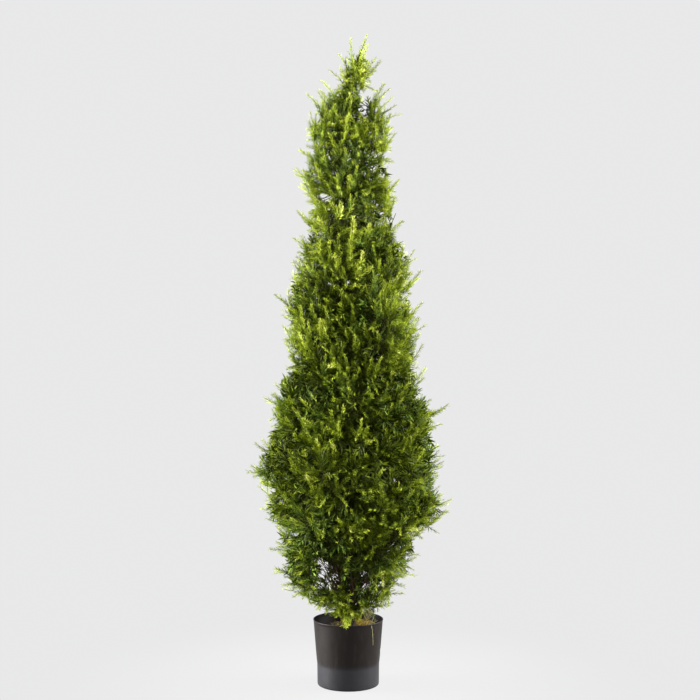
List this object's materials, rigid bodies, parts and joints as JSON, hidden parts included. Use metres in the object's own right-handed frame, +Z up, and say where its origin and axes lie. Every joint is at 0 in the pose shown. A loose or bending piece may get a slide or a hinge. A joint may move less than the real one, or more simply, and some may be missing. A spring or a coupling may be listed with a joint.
{
  "type": "artificial cypress tree in a pot",
  "caption": "Tall slender artificial cypress with a feathery, flame-shaped crown down to a small thin-walled black plastic nursery pot.",
  "frame": {"origin": "centre of the pot's flat underside, on the surface it stands on", "axes": "+Z up along the trunk, +X towards the crown's furthest spray, -Y towards the front"},
  "size_m": [0.5525, 0.5223, 1.8],
  "materials": {
    "pot_plastic": "satin",
    "potting_fill": "rough",
    "trunk_bark": "matte",
    "bough_bark": "matte",
    "foliage_deep": "matte",
    "foliage_mid": "matte",
    "foliage_lime": "matte",
    "foliage_tip": "matte"
  },
  "bodies": {
    "root": {"pot": "pot_plastic", "potting_fill": "potting_fill", "trunk": "trunk_bark", "bough_01": "bough_bark", "bough_02": "bough_bark", "bough_03": "bough_bark", "bough_04": "bough_bark", "bough_05": "bough_bark", "bough_06": "bough_bark", "bough_07": "bough_bark", "bough_08": "bough_bark", "bough_09": "bough_bark", "bough_10": "bough_bark", "bough_11": "bough_bark", "bough_12": "bough_bark", "bough_13": "bough_bark", "bough_14": "bough_bark", "bough_15": "bough_bark", "bough_16": "bough_bark", "bough_17": "bough_bark", "bough_18": "bough_bark", "bough_19": "bough_bark", "bough_20": "bough_bark", "bough_21": "bough_bark", "bough_22": "bough_bark", "bough_23": "bough_bark", "bough_24": "bough_bark", "bough_25": "bough_bark", "bough_26": "bough_bark", "bough_27": "bough_bark", "bough_28": "bough_bark", "mass_01": "foliage_deep", "mass_02": "foliage_mid", "mass_03": "foliage_lime", "mass_04": "foliage_tip", "mass_05": "foliage_deep", "mass_06": "foliage_mid", "mass_07": "foliage_lime", "mass_08": "foliage_tip", "mass_09": "foliage_deep", "mass_10": "foliage_mid", "mass_11": "foliage_lime", "mass_12": "foliage_tip", "mass_13": "foliage_deep", "mass_14": "foliage_mid", "mass_15": "foliage_lime", "mass_16": "foliage_tip", "mass_17": "foliage_deep", "mass_18": "foliage_mid", "mass_19": "foliage_lime", "mass_20": "foliage_tip", "mass_21": "foliage_deep", "mass_22": "foliage_mid", "mass_23": "foliage_lime", "mass_24": "foliage_tip", "mass_25": "foliage_deep", "mass_26": "foliage_mid", "mass_27": "foliage_lime", "mass_28": "foliage_tip", "mass_leader": "foliage_deep"}
  },
  "joints": []
}
